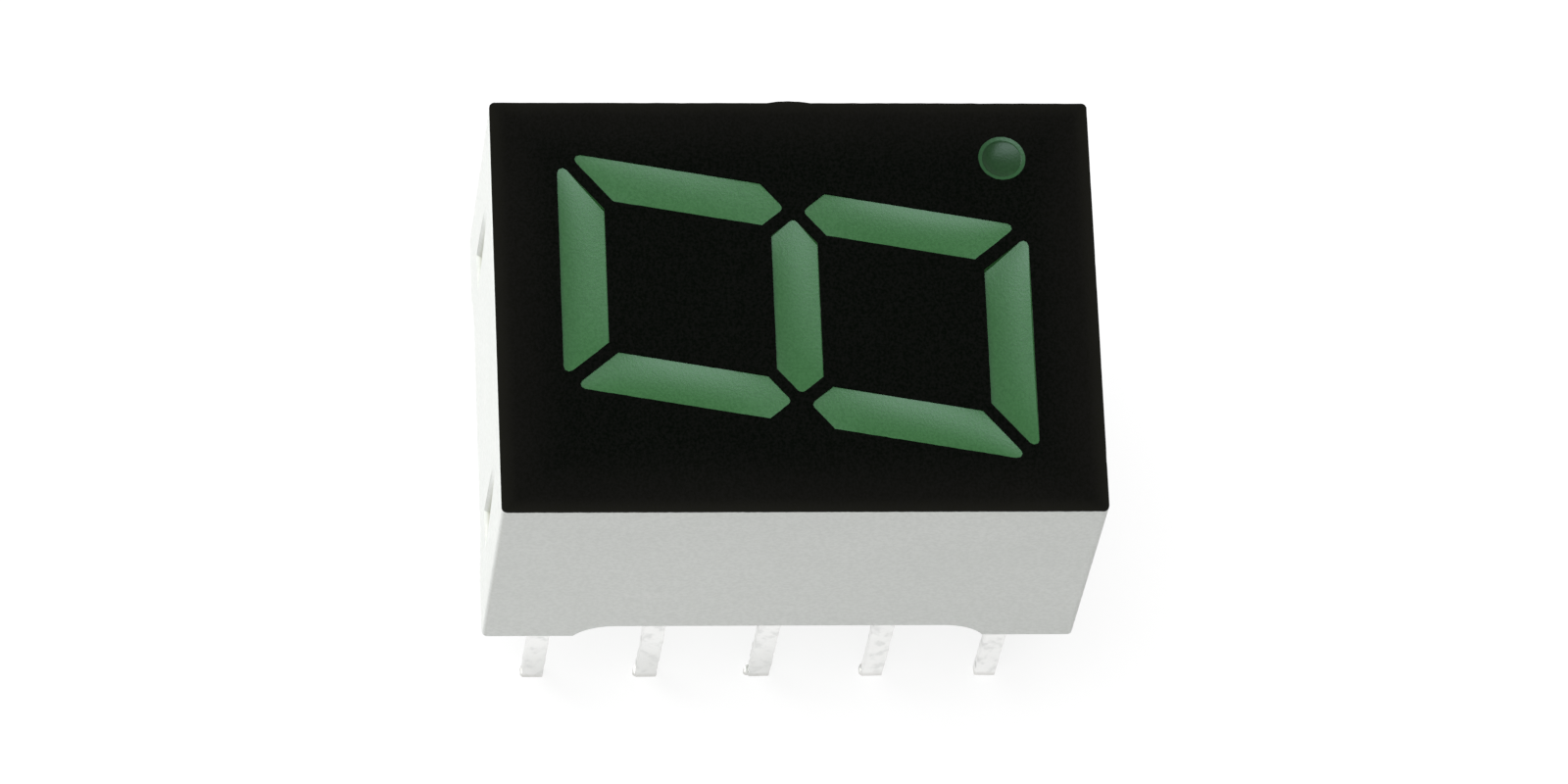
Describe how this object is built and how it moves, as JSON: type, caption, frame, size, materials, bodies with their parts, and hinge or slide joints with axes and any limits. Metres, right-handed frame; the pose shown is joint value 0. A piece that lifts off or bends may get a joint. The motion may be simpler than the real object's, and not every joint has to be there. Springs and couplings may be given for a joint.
{
  "type": "seven segment display",
  "caption": "Single digit LED display: slanted green segments and a point in a black face on a white box, with a row of flat pins along each long side.",
  "frame": {"origin": "middle of the footprint, on the plane of the pin tips", "axes": "+X to the digit's right, +Y to the digit's top, +Z out of the display's face"},
  "size_m": [0.0096, 0.013, 0.0115],
  "materials": {
    "reflector_white": "moulded white plastic, fine matte, faintly green",
    "black_ink": "matte black screen ink",
    "green_resin": "green tinted epoxy, cured glossy",
    "board_laminate": "glass fibre board",
    "copper_foil": "etched copper",
    "led_crystal": "yellow green semiconductor",
    "gold_wire": "bright gold",
    "tinned_metal": "tinned, pale, with small dark specks",
    "solder": "solder, satin"
  },
  "bodies": {
    "root": {"reflector_housing": "reflector_white", "face_mask": "black_ink", "segment_a": "green_resin", "segment_b": "green_resin", "segment_c": "green_resin", "segment_d": "green_resin", "segment_e": "green_resin", "segment_f": "green_resin", "segment_g": "green_resin", "decimal_point": "green_resin", "circuit_board": "board_laminate", "signal_tracks": "copper_foil", "common_conductor": "copper_foil", "led_a": "led_crystal", "led_b": "led_crystal", "led_c": "led_crystal", "led_d": "led_crystal", "led_e": "led_crystal", "led_f": "led_crystal", "led_g": "led_crystal", "led_point": "led_crystal", "bond_wire_a": "gold_wire", "bond_wire_b": "gold_wire", "bond_wire_c": "gold_wire", "bond_wire_d": "gold_wire", "bond_wire_e": "gold_wire", "bond_wire_f": "gold_wire", "bond_wire_g": "gold_wire", "bond_wire_point": "gold_wire", "pin_1": "tinned_metal", "pin_2": "tinned_metal", "pin_3": "tinned_metal", "pin_4": "tinned_metal", "pin_5": "tinned_metal", "pin_6": "tinned_metal", "pin_7": "tinned_metal", "pin_8": "tinned_metal", "pin_9": "tinned_metal", "pin_10": "tinned_metal", "solder_joints": "solder", "back_potting": "green_resin"}
  },
  "joints": []
}
